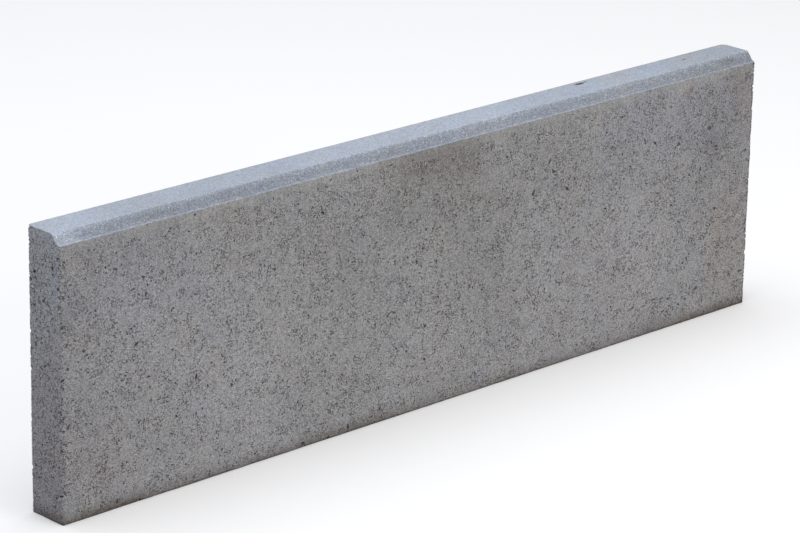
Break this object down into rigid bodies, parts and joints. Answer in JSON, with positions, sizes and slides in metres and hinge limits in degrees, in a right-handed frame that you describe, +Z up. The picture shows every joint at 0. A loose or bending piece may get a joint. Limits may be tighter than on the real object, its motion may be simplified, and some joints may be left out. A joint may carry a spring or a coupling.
{
  "type": "concrete garden edging",
  "caption": "Long upright slab of grey pressed concrete with a bevel along one top arris, set end to end to edge lawns, beds and paths.",
  "frame": {"origin": "middle of the base, on the level that the slab stands on", "axes": "+X along the slab's length, +Y from its bevelled face to its back, +Z up"},
  "size_m": [1, 0.05, 0.3],
  "materials": {
    "pressed_concrete": "matt pressed concrete, open and finely pitted on the faces, closed and smoother on the top and bevel"
  },
  "bodies": {
    "root": {"edging_slab": "pressed_concrete"}
  },
  "joints": []
}
